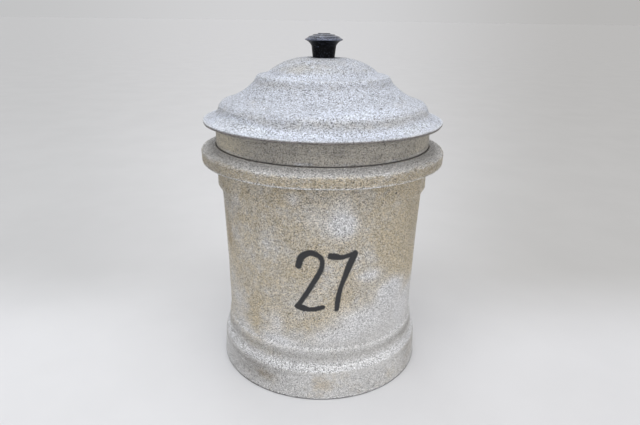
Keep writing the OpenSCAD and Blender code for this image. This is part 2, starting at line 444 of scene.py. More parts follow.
@dataclass(frozen=True)
class Blotch:
    """One stain or wiped patch: its middle, its half widths and its strength.

    x is measured round the surface from the front, to the right, and z up from the table.
    """

    x: float
    z: float
    half_x: float
    half_z: float
    strength: float

    def at(self, x: np.ndarray, z: np.ndarray) -> np.ndarray:
        """Strength at each place, a bell curve in both directions."""
        return self.strength * bell(x, self.x, self.half_x) * bell(z, self.z, self.half_z)


@dataclass(frozen=True)
class Ring:
    """A stain that runs all round: its height, its half width and its strength."""

    z: float
    half_z: float
    strength: float

    def at(self, x: np.ndarray, z: np.ndarray) -> np.ndarray:
        """Strength at each place, the same at every x."""
        return self.strength * bell(z, self.z, self.half_z)


def blotches(marks: Iterable[Blotch | Ring], x: np.ndarray, z: np.ndarray) -> np.ndarray:
    """Sum of all stains at each place."""
    return sum((mark.at(x, z) for mark in marks), np.zeros_like(x))


# Shader nodes


class Bench:
    """A node tree with short calls for the nodes that the finishes share."""

    def __init__(self, tree: bpy.types.NodeTree) -> None:
        """Keeps the tree that the nodes go into."""
        self.tree = tree

    def node(self, kind: str, **settings: object) -> bpy.types.Node:
        """Adds a node and sets its properties."""
        made = self.tree.nodes.new(kind)
        for name, value in settings.items():
            setattr(made, name, value)
        return made

    def feed(self, socket: Socket, value: object) -> None:
        """Links a socket to another, or sets its own value."""
        if isinstance(value, bpy.types.NodeSocket):
            self.tree.links.new(value, socket)
        elif isinstance(value, tuple) and len(value) == 3 and socket.type == "RGBA":
            socket.default_value = (*value, 1.0)
        else:
            socket.default_value = value

    def give(self, node: bpy.types.Node, **values: object) -> None:
        """Feeds inputs of a node by their names, written with _ for a space."""
        for name, value in values.items():
            self.feed(node.inputs[name.replace("_", " ")], value)

    def math(self, operation: str, a: object, b: object) -> Socket:
        """Output of a Math node."""
        made = self.node("ShaderNodeMath", operation=operation)
        self.feed(made.inputs[0], a)
        self.feed(made.inputs[1], b)
        return made.outputs[0]

    def add(self, a: object, b: object) -> Socket:
        """Sum of two numbers."""
        return self.math("ADD", a, b)

    def less(self, a: object, b: object) -> Socket:
        """First number less the second."""
        return self.math("SUBTRACT", a, b)

    def times(self, a: object, b: object) -> Socket:
        """Product of two numbers."""
        return self.math("MULTIPLY", a, b)

    def most(self, a: object, b: object) -> Socket:
        """Greater of two numbers."""
        return self.math("MAXIMUM", a, b)

    def absolute(self, value: Socket) -> Socket:
        """Number without its sign."""
        return self.math("ABSOLUTE", value, 0.0)

    def swing(self, value: Socket, by: object) -> Socket:
        """How far a value lies from a half, times a factor."""
        return self.times(self.less(value, 0.5), by)

    def spread(self, value: Socket, low: object, high: object, to_low: float = 0.0,
               to_high: float = 1.0) -> Socket:
        """Smooth step of a value from low to high onto another range.

        Args:
            value: what is measured.
            low: value that gives to_low.
            high: value that gives to_high.
            to_low: result at low.
            to_high: result at high.

        Returns:
            The Map Range node's output.
        """
        made = self.node("ShaderNodeMapRange", interpolation_type="SMOOTHSTEP")
        for socket, given in zip(made.inputs, (value, low, high, to_low, to_high)):
            self.feed(socket, given)
        return made.outputs[0]

    def mix(self, share: object, a: object, b: object) -> Socket:
        """Colour between a and b."""
        made = self.node("ShaderNodeMix", data_type="RGBA")
        first, second = (socket for socket in made.inputs if socket.type == "RGBA")
        self.feed(made.inputs[0], share)
        self.feed(first, a)
        self.feed(second, b)
        return next(socket for socket in made.outputs if socket.type == "RGBA")

    def scale(self, colour: Socket, by: object) -> Socket:
        """Colour made brighter or darker by a factor."""
        made = self.node("ShaderNodeVectorMath", operation="SCALE")
        self.feed(made.inputs[0], colour)
        self.give(made, Scale=by)
        return made.outputs[0]

    def noise(self, point: Socket, scale: float, detail: float = 2.0, rough: float = 0.5) -> Socket:
        """Value of a Noise Texture, about 0.5 in the middle."""
        made = self.node("ShaderNodeTexNoise")
        self.give(made, Vector=point, Scale=scale, Detail=detail, Roughness=rough)
        return made.outputs["Fac"]

    def cells(self, point: Socket, scale: object, feature: str = "F1") -> bpy.types.Node:
        """A Voronoi Texture of cells, sharp or with its tones run together."""
        made = self.node("ShaderNodeTexVoronoi", feature=feature)
        self.give(made, Vector=point, Scale=scale)
        return made

    def tones(self, texture: bpy.types.Node) -> tuple[Socket, Socket, Socket]:
        """Red, green and blue of a texture's colour, as three random numbers."""
        made = self.node("ShaderNodeSeparateColor")
        self.feed(made.inputs[0], texture.outputs["Color"])
        return tuple(made.outputs)

    def stretch(self, point: Socket, scale: tuple[float, float, float]) -> Socket:
        """Point scaled by a different factor along each axis."""
        made = self.node("ShaderNodeVectorMath", operation="MULTIPLY")
        self.feed(made.inputs[0], point)
        self.feed(made.inputs[1], scale)
        return made.outputs[0]

    def parts(self, point: Socket) -> tuple[Socket, Socket, Socket]:
        """The three coordinates of a point."""
        made = self.node("ShaderNodeSeparateXYZ")
        self.feed(made.inputs[0], point)
        return tuple(made.outputs)

    def mark(self, name: str) -> Socket:
        """Number that the mesh carries under that name."""
        return self.node("ShaderNodeAttribute", attribute_name=name).outputs["Fac"]

    def torn(self, name: str, by: Socket, breakup: float, low: float, high: float) -> Socket:
        """Mask of a mark from low to high, its edge broken up by a value's swing."""
        return self.spread(self.add(self.mark(name), self.swing(by, breakup)), low, high)

    def point(self) -> Socket:
        """Object coordinates, in metres."""
        return self.node("ShaderNodeTexCoord").outputs["Object"]

    def shell(self, height: Socket | None = None, bump: float = 0.0, distance: float = 0.0,
              **values: object) -> None:
        """Adds a Principled surface and joins it to the material's output.

        Args:
            height: relief of the surface, if it has any.
            bump: strength of the relief.
            distance: height of the relief, in metres.
            values: inputs of the surface by name, with _ for a space.
        """
        surface = self.node("ShaderNodeBsdfPrincipled")
        self.give(surface, **values)
        if height is not None:
            relief = self.node("ShaderNodeBump")
            self.give(relief, Strength=bump, Distance=distance, Height=height)
            self.give(surface, Normal=relief.outputs[0])
        self.feed(self.node("ShaderNodeOutputMaterial").inputs[0], surface.outputs[0])


def new_finish(name: str) -> tuple[bpy.types.Material, Bench]:
    """Empty material of that name, and the bench for its nodes."""
    made = bpy.data.materials.new(name)
    made.use_nodes = True
    made.node_tree.nodes.clear()
    return made, Bench(made.node_tree)


def toned(colour: Colour, by: float) -> Colour:
    """Colour made brighter or darker by a factor."""
    return tuple(by * part for part in colour)


class Effect:
    """A shader node group that several finishes place, with named inputs and outputs."""

    def __init__(self, name: str, inputs: dict[str, tuple[str, float]], outputs: Iterable[str],
                 wire: Callable[[Bench, dict[str, Socket], bpy.types.Node], None]) -> None:
        """Builds the group.

        Args:
            name: name of the group.
            inputs: for each input its socket type and first value.
            outputs: name of each output, all of them numbers.
            wire: function that joins the inputs to the outputs.
        """
        self.tree = bpy.data.node_groups.new(name, "ShaderNodeTree")
        for label, (kind, value) in inputs.items():
            made = self.tree.interface.new_socket(name=label, in_out="INPUT", socket_type=kind)
            if kind == FLOAT:
                made.default_value = value
        for label in outputs:
            self.tree.interface.new_socket(name=label, in_out="OUTPUT", socket_type=FLOAT)
        bench = Bench(self.tree)
        entry, leave = bench.node("NodeGroupInput"), bench.node("NodeGroupOutput")
        wire(bench, dict(entry.outputs.items()), leave)

    def place(self, bench: Bench, **values: object) -> dict[str, Socket]:
        """Puts the group into a finish.

        Args:
            bench: tree of the finish.
            values: for each input, with _ for a space, a socket or number.

        Returns:
            The outputs by name.
        """
        made = bench.node("ShaderNodeGroup", node_tree=self.tree)
        bench.give(made, **values)
        return dict(made.outputs.items())


def wire_grain(bench: Bench, given: dict[str, Socket], out: bpy.types.Node) -> None:
    """Sand grain: cells of random tone for the grains, noise between them, and rare pits.

    Speck is the cells' random tones, less most of their local mean, with a little fine noise,
    so that it is even from afar. Height falls from the middle of each grain to its edge. Dark
    and Glint are 1 on the grains whose second and third random tones are greatest, and Pit
    inside the few coarse cells whose tone is least.

    Args:
        bench: tree of the group.
        given: its inputs.
        out: its output node.
    """
    point, size = given["Point"], given["Grains per metre"]
    jitter = bench.node("ShaderNodeTexNoise")
    bench.give(jitter, Vector=point, Scale=size)
    wobble = bench.node("ShaderNodeVectorMath", operation="MULTIPLY_ADD")
    for socket, value in zip(wobble.inputs, (jitter.outputs["Color"], (GRAIN_WOBBLE,) * 3, point)):
        bench.feed(socket, value)
    shaken = wobble.outputs[0]
    grain = bench.cells(shaken, size)
    tone, second, third = bench.tones(grain)
    blurred = bench.cells(shaken, size, "SMOOTH_F1")
    bench.give(blurred, Smoothness=1.0)
    local, _, _ = bench.tones(blurred)
    sharp = bench.less(tone, bench.times(local, 0.85))
    fine = bench.noise(point, FINE_PER_METRE, 2.0, 0.7)
    crest = bench.less(1.0, bench.times(grain.outputs["Distance"], 1.1))
    hole = bench.cells(point, HOLES_PER_METRE)
    lot, ragged, _ = bench.tones(hole)
    chosen = bench.math("LESS_THAN", lot, given["Pit share"])
    from_middle = bench.add(hole.outputs["Distance"], bench.times(ragged, 0.10))
    bench.give(out,
               Speck=bench.add(bench.times(sharp, 0.85), bench.add(bench.times(fine, 0.15), 0.36)),
               Dark=bench.spread(second, 0.86, 0.96),
               Height=bench.add(crest, bench.times(second, 0.6)),
               Glint=bench.spread(third, 0.84, 0.94),
               Pit=bench.times(chosen, bench.spread(from_middle, 0.20, 0.10)))


def wire_mottle(bench: Bench, given: dict[str, Socket], out: bpy.types.Node) -> None:
    """Soft-edged patches: a value field broken up by noise at two sizes, then stepped.

    Args:
        bench: tree of the group.
        given: its inputs.
        out: its output node.
    """
    broad = bench.noise(given["Point"], 38.0, 3.0, 0.6)
    small = bench.noise(given["Point"], 240.0, 3.0, 0.65)
    ragged = bench.add(bench.swing(broad, 1.3), bench.swing(small, 0.6))
    value = bench.add(given["Amount"], bench.times(ragged, given["Breakup"]))
    bench.give(out, Mask=bench.spread(value, 0.1, 0.9))


def wire_lathe(bench: Bench, given: dict[str, Socket], out: bpy.types.Node) -> None:
    """Fine turned lines that run round the axis: noise squeezed flat across the height.

    Args:
        bench: tree of the group.
        given: its inputs.
        out: its output node.
    """
    fine = bench.noise(bench.stretch(given["Point"], (0.02, 0.02, 1.0)), 2600.0, 2.0, 0.6)
    wide = bench.noise(bench.stretch(given["Point"], (0.05, 0.05, 1.0)), 600.0, 2.0, 0.5)
    bench.give(out, Line=bench.times(bench.add(fine, wide), 0.5))


class Effects:
    """The shared effects, each built once."""

    def __init__(self) -> None:
        """Builds the groups."""
        point = {"Point": (VECTOR, 0)}
        self.grain = Effect("Sand grain", point | {"Grains per metre": (FLOAT, 900),
                                                   "Pit share": (FLOAT, 0.04)},
                            ("Speck", "Height", "Dark", "Glint", "Pit"), wire_grain)
        self.mottle = Effect("Soft patches", point | {"Amount": (FLOAT, 0.5), "Breakup": (FLOAT, 1.0)},
                             ("Mask",), wire_mottle)
        self.lathe = Effect("Turned lines", point, ("Line",), wire_lathe)


@dataclass(frozen=True)
class CastSkin:
    """Sand-cast aluminium: grey metal under a patina, worn on its edges and turned in places,
    with highlights and shade painted into some of its layers.

    The tone of the grain swings by contrast, with dark grains taken off, between least and
    peak. Turned, patina and the like are the colours of those layers.
    """

    name: str
    grey: Colour
    patina: Colour
    stain: Colour
    silver: Colour
    worn_and_highlight: Colour
    grime: Colour
    turned: Colour
    ink: Colour = (0.017, 0.017, 0.019)
    contrast: float = 3.2
    dark: float = 0.9
    mean: float = 1.06
    least: float = 0.15
    peak: float = 1.85
    glint: float = 0.28
    bump: float = 0.45
    relief: float = 0.00022
    rough: float = 0.72
    metal: float = 0.2
    pit_share: float = 0.04
    grains: float = 1700.0

    def masks(self, bench: Bench, effects: Effects, point: Socket, speck: Socket) -> dict[str, Socket]:
        """Where each layer shows: the mesh's marks, their edges broken up along the grain.

        Args:
            bench: tree of the finish.
            effects: the shared node groups.
            point: place on the piece.
            speck: tone of the grain.

        Returns:
            A mask for each layer by name.
        """
        made = {"turned": bench.mark("turned")}
        for name, breakup in (("patina", 1.1), ("stain", 0.7), ("silver", 0.8)):
            made[name] = effects.mottle.place(bench, Point=point, Amount=bench.mark(name),
                                              Breakup=breakup)["Mask"]
        # wear: real wear, with painted highlights on edges and on the rubbed ledge and shoulder
        made["wear"] = bench.torn("wear", speck, 1.1, 0.30, 0.62)
        # grime: real grime together with painted shade in inward corners, on steep faces, under the brim
        # and round the foot
        made["grime"] = bench.torn("grime", speck, -0.5, 0.05, 1.0)
        # ink: ink, dark joint lines and a painted contact shadow under the foot
        made["ink"] = bench.torn("ink", speck, 1.4, 0.5, -0.4)
        return made

    def layers(self, bench: Bench, masks: dict[str, Socket], point: Socket, lines: Socket) -> Socket:
        """Colour of the metal and of what lies on it, before grain, pits and ink.

        Args:
            bench: tree of the finish.
            masks: where each layer shows.
            point: place on the piece.
            lines: the turned lines.

        Returns:
            The colour.
        """
        smudge = bench.spread(bench.noise(point, 120.0, 5.0, 0.75), 0.40, 0.68)
        face = bench.mix(smudge, self.turned, toned(self.turned, 0.70))
        face = bench.mix(bench.spread(lines, 0.42, 0.66, 0.0, 0.45), face, toned(self.turned, 1.4))
        colour = bench.mix(masks["patina"], self.grey, self.patina)
        for name, over in (("turned", face), ("stain", self.stain), ("silver", self.silver),
                           ("wear", self.worn_and_highlight), ("grime", self.grime)):
            colour = bench.mix(masks[name], colour, over)
        return colour

    def material(self, effects: Effects) -> bpy.types.Material:
        """Builds the finish.

        The marks on the mesh say where patina, stains, silver patches and painted highlights,
        wear and painted edge highlights, grime and painted shade, turned faces, and ink, dark
        joints and a painted contact shadow lie, and grit how strong the grain is.

        Args:
            effects: the shared node groups.

        Returns:
            The material.
        """
        made, bench = new_finish(self.name)
        point = bench.point()
        grain = effects.grain.place(bench, Point=point, Grains_per_metre=self.grains,
                                    Pit_share=self.pit_share)
        speck, pit = grain["Speck"], grain["Pit"]
        lines = effects.lathe.place(bench, Point=point)["Line"]
        masks = self.masks(bench, effects, point, speck)
        wear, ink, face = masks["wear"], masks["ink"], masks["turned"]
        colour = self.layers(bench, masks, point, lines)

        hold = bench.add(bench.times(bench.less(1.0, face), 0.10), 0.90)
        depth = bench.times(bench.mark("grit"),
                            bench.times(hold, bench.spread(wear, 0.0, 1.0, 1.0, 0.6)))
        cloud = bench.swing(bench.noise(point, 22.0, 4.0, 0.6), 0.5)
        dark = bench.times(bench.times(grain["Dark"], self.dark),
                           bench.spread(face, 0.0, 1.0, 1.0, 0.4))
        tone = bench.times(bench.less(bench.swing(speck, 2 * self.contrast), dark), depth)
        bright = bench.math("MINIMUM", bench.add(tone, bench.add(cloud, self.mean)), self.peak)
        colour = bench.scale(colour, bench.most(bright, self.least))
        glint = bench.times(grain["Glint"], bench.times(depth, self.glint))
        colour = bench.mix(glint, colour, self.worn_and_highlight)
        colour = bench.mix(pit, colour, toned(self.grime, 0.25))
        colour = bench.mix(ink, colour, bench.mix(speck, self.ink, toned(self.ink, 2.6)))

        bare = bench.most(wear, bench.times(masks["silver"], 0.6))
        shine = bench.most(bare, bench.times(face, 0.35))
        dry = bench.less(1.0, bench.most(ink, pit))
        height = bench.less(bench.times(grain["Height"], depth), bench.times(pit, 1.6))
        height = bench.add(height, bench.times(bench.times(lines, face), 0.35))
        bench.shell(
            height, self.bump, self.relief, Base_Color=colour,
            Metallic=bench.times(bench.spread(shine, 0.0, 1.0, self.metal, 0.7), dry),
            Roughness=bench.add(bench.spread(shine, 0.0, 1.0, self.rough, 0.45),
                                bench.swing(speck, 0.25)))
        return made


@dataclass(frozen=True)
class Moulding:
    """Black phenolic: glossy when new, dulled by hands and dust, with sheen painted on its cap."""

    name: str
    body: Colour
    dust_and_sheen: Colour
    rough: float = 0.3
    specular: float = 0.07
    coat: float = 0.9
    coat_rough: float = 0.08

    def material(self, effects: Effects) -> bpy.types.Material:
        """Builds the finish: dust and painted sheen on the cap's rings, worn edges with painted
        highlights, and fine scuffs.

        Args:
            effects: the shared node groups, none of which this finish needs.

        Returns:
            The material.
        """
        made, bench = new_finish(self.name)
        scuff = bench.noise(bench.point(), 900.0, 4.0, 0.7)
        # Bluish film of dust with painted sheen, and worn edges with painted highlights
        film = bench.torn("dust_and_sheen", scuff, 2.6, 0.1, 0.9)
        worn_and_highlight = bench.torn("wear", scuff, 0.9, 0.35, 0.9)
        scuffed = bench.spread(scuff, 0.3, 0.75, self.rough - 0.06, self.rough + 0.12)
        bench.shell(
            scuff, 0.2, 0.0001, Specular_IOR_Level=self.specular, Coat_Roughness=self.coat_rough,
            Coat_Weight=bench.times(bench.mark("cap"), self.coat),
            Base_Color=bench.mix(bench.times(bench.most(film, worn_and_highlight), 0.7), self.body, self.dust_and_sheen),
            Roughness=bench.add(scuffed, bench.times(film, 0.15)))
        return made


@dataclass(frozen=True)
class TurnedMetal:
    """Bar metal off a small lathe: lines round the axis and a little tarnish."""

    name: str
    bright: Colour
    tarnish: Colour
    rough: float

    def material(self, effects: Effects) -> bpy.types.Material:
        """Builds the finish.

        Args:
            effects: the shared node groups.

        Returns:
            The material.
        """
        made, bench = new_finish(self.name)
        point = bench.point()
        lines = effects.lathe.place(bench, Point=point)["Line"]
        film = effects.mottle.place(bench, Point=bench.stretch(point, (6.0, 6.0, 6.0)), Amount=0.42,
                                    Breakup=1.0)["Mask"]
        lined = bench.spread(lines, 0.3, 0.7, self.rough - 0.06, self.rough + 0.06)
        bench.shell(lines, 0.25, 0.0001, Metallic=1.0,
                    Base_Color=bench.mix(film, self.bright, self.tarnish),
                    Roughness=bench.add(bench.times(film, 0.2), lined))
        return made


# Number on the barrel


@dataclass
class HandNumber:
    """A shelf number marked on the barrel by hand, in two plain digits."""

    x: float = 3.5
    z: float = 74.0
    half_width: float = 2.5
    room_beside: float = 32.0
    room_below: float = 8.0
    room_above: float = 58.0
    strokes: tuple[tuple[tuple[float, float], ...], ...] = (
        ((-20.0, 38.5), (-17.5, 46.0), (-10.5, 49.5), (-3.5, 45.5), (-3.2, 37.0), (-9.5, 24.0),
         (-20.5, 4.5)),
        ((-20.5, 4.5), (-11.0, 2.6), (-1.5, 4.8)),
        ((3.6, 47.2), (12.0, 46.0), (21.5, 48.2)),
        ((21.5, 48.2), (15.5, 33.0), (10.6, 17.0), (8.8, 2.6)),
    )

    def smooth(self, points: np.ndarray, parts: int = 10) -> np.ndarray:
        """Cubic curve through the given points.

        The slope at each point is half the chord between its neighbours.

        Args:
            points: the points of one stroke.
            parts: segments between two points.

        Returns:
            Points along the stroke.
        """
        slope = np.gradient(points, axis=0)
        t = np.linspace(0, 1, parts, endpoint=False)[None, :, None]
        p, q = points[:-1, None], points[1:, None]
        m, n = slope[:-1, None], slope[1:, None]
        curve = ((2 * t**3 - 3 * t**2 + 1) * p + (t**3 - 2 * t**2 + t) * m
                 + (3 * t**2 - 2 * t**3) * q + (t**3 - t**2) * n)
        return np.vstack([curve.reshape(-1, 2), points[-1:]])

    def distance(self, x: np.ndarray, z: np.ndarray) -> np.ndarray:
        """Distance from the inked strokes, negative inside, in millimetres.

        The distance to the nearest segment of each stroke, less its half width, which swells
        and thins along the stroke as a marker's does.

        Args:
            x: place round the surface from the front.
            z: height.

        Returns:
            One number for each place, at most that of no ink.
        """
        far = np.full(len(x), NO_INK)
        near = ((np.abs(x - self.x) < self.room_beside) & (z > self.z - self.room_below)
                & (z < self.z + self.room_above))
        place = np.stack([x[near] - self.x, z[near] - self.z], axis=1)
        least = np.full(len(place), NO_INK)
        for stroke in self.strokes:
            line = self.smooth(np.array(stroke))
            a, step = line[:-1], np.diff(line, axis=0)
            along = np.einsum("psk,sk->ps", place[:, None] - a, step) / np.sum(step**2, axis=1)
            along = np.clip(along, 0, 1)
            gap = np.linalg.norm(place[:, None] - a - along[..., None] * step, axis=2)
            run = (np.arange(len(a)) + along) / len(a)
            width = self.half_width * (1.08 - 0.35 * run + 0.10 * np.sin(9 * run))
            least = np.minimum(least, np.min(gap - width, axis=1))
        far[near] = least
        return far


# Pieces of the jar


@dataclass
class JarCasting:
    """Jar in one casting: foot, barrel, neck and rim."""

    skin: CastSkin
    number: HandNumber
    edge_r: float = 0.8
    soft_r: float = 2.4
    foot_r: float = 85.7
    foot_side_h: float = 19.0
    foot_draft: float = 0.7
    shoulder_h: float = 10.0
    shoulder_w: float = 3.4
    shoulder_bulge: float = 0.8
    riser_h: float = 11.5
    riser_w: float = 1.3
    ledge_w: float = 1.3
    ledge_h: float = 2.0
    foot_ring_w: float = 11.0
    base_recess: float = 6.0
    barrel_h: float = 104.0
    barrel_taper: float = 2.9
    barrel_hollow: float = 0.5
    wall: float = 5.7
    floor_t: float = 6.0
    floor_fillet: float = 12.0
    neck_w: float = 3.3
    neck_cove_h: float = 9.8
    neck_cove_sag: float = 0.9
    neck_h: float = 19.2
    rim_w: float = 12.1
    rim_side_h: float = 9.2
    rim_rise: float = 3.4
    rim_lean: float = 0.4
    seat_depth: float = 8.0
    seat_play: float = 0.4
    rim_face_w: float = 5.3
    rim_round_w: float = 7.3
    slope_top_z: float = 28.5
    edge_reach: float = 1.1
    lumps: Unevenness = field(default_factory=lambda: Unevenness(11, 60.0, 7.0))
    columns: int = 228
    crowd: float = 1.3
    crowd_width: float = 0.33
    # Wiped silver patches, with painted highlights along the ledge on the left
    silver: tuple[Blotch, ...] = (
        Blotch(15, 143, 14, 11, 0.85), Blotch(14, 160, 11, 13, 0.45), Blotch(-6, 152, 9, 13, 0.35),
        Blotch(38, 102, 12, 7, 0.75), Blotch(60, 84, 17, 12, 0.9), Blotch(32, 66, 24, 13, 0.75),
        Blotch(78, 58, 24, 22, 0.6), Blotch(-36, 60, 11, 15, 0.5), Blotch(-32, 45, 18, 5, 0.6),
        Blotch(-68, 46, 14, 6, 0.4), Blotch(-80, 66, 16, 16, 0.5),
        Blotch(8, 52, 24, 8, 0.5), Blotch(-6, 97, 6, 5, 0.45), Blotch(-20, 165, 6, 6, 0.5),
        Blotch(-190, 90, 40, 30, 0.5), Blotch(150, 110, 30, 35, 0.55), Blotch(-118, 130, 18, 22, 0.4),
    )
    stains: tuple[Blotch, ...] = (
        Blotch(-92, 118, 8, 14, 0.8), Blotch(-45, 15, 13, 6, 0.7), Blotch(-52, 138, 5, 10, 0.35),
        Blotch(76, 152, 14, 14, 0.35), Blotch(78, 106, 10, 16, 0.3), Blotch(-60, 165, 14, 7, 0.35),
        Blotch(2, 14, 10, 5, 0.3), Blotch(170, 60, 30, 25, 0.5), Blotch(-140, 150, 24, 20, 0.4),
    )
    tans: tuple[Blotch, ...] = (
        Blotch(80, 150, 24, 22, 0.4), Blotch(80, 110, 20, 28, 0.35), Blotch(-55, 62, 7, 16, 0.5),
        Blotch(-12, 62, 10, 12, 0.22), Blotch(-42, 34, 20, 5, 0.15), Blotch(-72, 166, 30, 12, 0.25),
        Blotch(-150, 110, 30, 50, 0.15),
    )
    # Dirt patches with painted shade among them: the sides of the barrel and foot and the right of the rim
    # darkened, painted shade low on the shoulder, a darker band round the riser, and a painted contact
    # shadow along the table
    soils_and_shade: tuple[Blotch | Ring, ...] = (
        Blotch(-70, 15, 42, 20, 0.42), Blotch(90, 14, 24, 24, 0.36), Blotch(-92, 148, 28, 38, 0.44),
        Blotch(90, 136, 20, 32, 0.34), Blotch(-50, 15, 20, 9, 0.26), Blotch(95, 184, 30, 6, 0.12),
        Blotch(150, 14, 60, 20, 0.2), Ring(35.8, 4.6, 0.42), Ring(20.5, 2, 0.14), Ring(0, 1, 1),
    )

    def heights(self) -> dict[str, float]:
        """Heights of the steps, stacked from the table up."""
        z = {"shoulder": self.foot_side_h + self.shoulder_h}
        z["ledge"] = z["shoulder"] + self.riser_h
        z["barrel"] = z["ledge"] + self.ledge_h
        z["barrel_top"] = z["barrel"] + self.barrel_h
        z["neck"] = z["barrel_top"] + self.neck_cove_h
        z["rim"] = z["neck"] + self.neck_h
        z["rim_side"] = z["rim"] + self.rim_side_h
        z["rim_top"] = z["rim_side"] + self.rim_rise
        z["seat"] = z["rim_top"] - self.seat_depth
        return z

    def radii(self) -> dict[str, float]:
        """Radii of the steps, stacked from the foot up to the rim."""
        r = {"foot_top": self.foot_r - self.foot_draft}
        r["shoulder"] = r["foot_top"] - self.shoulder_w
        r["ledge"] = r["shoulder"] - self.riser_w
        r["barrel"] = r["ledge"] - self.ledge_w
        r["barrel_top"] = r["barrel"] + self.barrel_taper
        r["neck"] = r["barrel_top"] + self.neck_w
        r["mouth"] = r["neck"] - self.wall
        r["rim"] = r["neck"] + self.rim_w
        r["seat"] = r["neck"] + self.seat_play
        return r

    def section(self) -> Section:
        """Half section from the middle of the base, out and up to the rim, and down inside.

        Returns:
            The open section, both ends on the axis.
        """
        r, z = self.radii(), self.heights()
        low, top = (r["barrel"], z["barrel"]), (r["barrel_top"], z["barrel_top"])
        neck, collar = (r["neck"], z["neck"]), (r["neck"], z["rim"])
        foot, shoulder = (r["foot_top"], self.foot_side_h), (r["shoulder"], z["shoulder"])
        ring = self.foot_r - self.foot_ring_w
        floor_z = self.base_recess + self.floor_t
        barrel = np.vstack([[low], arc_between(low, top, -self.barrel_hollow), [top],
                            arc_between(top, neck, -self.neck_cove_sag), [neck]])
        inside = inset(np.vstack([barrel, [collar]]), self.wall)[::-1]
        cut = Section(closed=False)
        cut.corner(0, self.base_recess, skin=Skin.HIDDEN)
        cut.corner(ring - self.base_recess / 2, self.base_recess, self.soft_r, Skin.HIDDEN)
        cut.corner(ring, 0, self.edge_r, Skin.TURNED)
        cut.corner(self.foot_r, 0, self.edge_r)
        cut.corner(*foot)
        cut.curve(arc_between(foot, shoulder, self.shoulder_bulge))
        cut.corner(*shoulder, self.soft_r)
        cut.corner(r["ledge"], z["ledge"], self.edge_r)
        cut.curve(barrel)
        cut.corner(*collar, self.edge_r)
        cut.corner(r["rim"] - self.rim_lean, z["rim"], self.edge_r)
        cut.corner(r["rim"], z["rim_side"], self.soft_r)
        cut.corner(r["seat"], z["rim_top"], self.edge_r / 2, Skin.TURNED)
        cut.corner(r["seat"], z["seat"], skin=Skin.TURNED)
        cut.corner(r["mouth"], z["seat"], self.edge_r, Skin.HIDDEN)
        cut.curve(inside[1:-1], Skin.HIDDEN)
        cut.corner(inside[-1][0], floor_z, self.floor_fillet, Skin.HIDDEN)
        cut.corner(0, floor_z, skin=Skin.HIDDEN)
        return cut

    def patina_edge(self, angle: np.ndarray) -> np.ndarray:
        """Height where the patina starts: lowest on the left, and highest on the right."""
        return 50 + 22 * np.sin(angle) - 6 * np.cos(angle)

    def marks(self, form: Turning) -> dict[str, np.ndarray]:
        """Works out where the layers of the finish lie, each as a strength about 0 to 1.

        Edges are worn and inward corners darkened by painted shade, by how sharply the section
        turns. The ledge under the barrel and the shoulder of the foot are rubbed bright, with a
        painted highlight where light from above falls on them, the top of the rim is dark, its side
        is painted darker as the shadow of the lid's brim, the patina covers the jar above an edge
        that waves round it, and ink also draws the line round the lid and a painted contact
        shadow under the foot.

        Args:
            form: the turned section.

        Returns:
            One number for each vertex, by the name of the mark.
        """
        r_of, z_of = self.radii(), self.heights()
        r, x, z = form.path[:, 0], form.x(), form.made.points[:, 2]
        angle = form.around - FRONT
        bend_here = form.bend(self.edge_reach)
        outer = form.skin(Skin.CAST)
        outside = form.over(outer)
        on_face = form.over(r > r_of["rim"] - self.rim_face_w)
        on_rim = form.over(outer * (r > r_of["rim"] - self.rim_round_w))

        # Real wear with a painted highlight: the ledge's edge and the up-facing shoulder of the foot made
        # bright where light from above falls
        step = (bell(z, z_of["ledge"] + 1.6, 1.1) * (0.7 + 0.3 * np.cos(7 * angle))) * outside
        slope = (ramp(z, self.foot_side_h + 3.8, 1.8)
                 * bell(np.maximum(z, self.slope_top_z), self.slope_top_z, 3.2)) * outside
        rubbed_and_highlight = 0.52 * step + 0.66 * slope
        rim_top = ramp(z, z_of["rim_side"] + 0.4, 1.2) * outside
        # The rim's side is painted darker as the shadow of the lid's brim, over its own browner patina
        rim_side = on_face * outside * (1 - rim_top) * (z > z_of["rim"] - 0.5)
        rim_round = on_rim * ramp(z, z_of["rim_side"] - 1.5, 1.5)
        rim_edge = (0.15 + 0.1 * np.cos(3 * angle + 0.6)) * on_face * bell(z, z_of["rim"] + 0.4, 0.6)
        in_seat = np.clip((r_of["seat"] + 0.4 - r) / 0.4, 0, 0.7) * (r > r_of["mouth"] + 0.5)
        joint = form.over(in_seat) * (z > z_of["seat"] - 1)
        edge = self.patina_edge(angle)
        around_lid = np.hypot(form.over(r) - r_of["seat"], z - z_of["rim_top"]) - 0.35
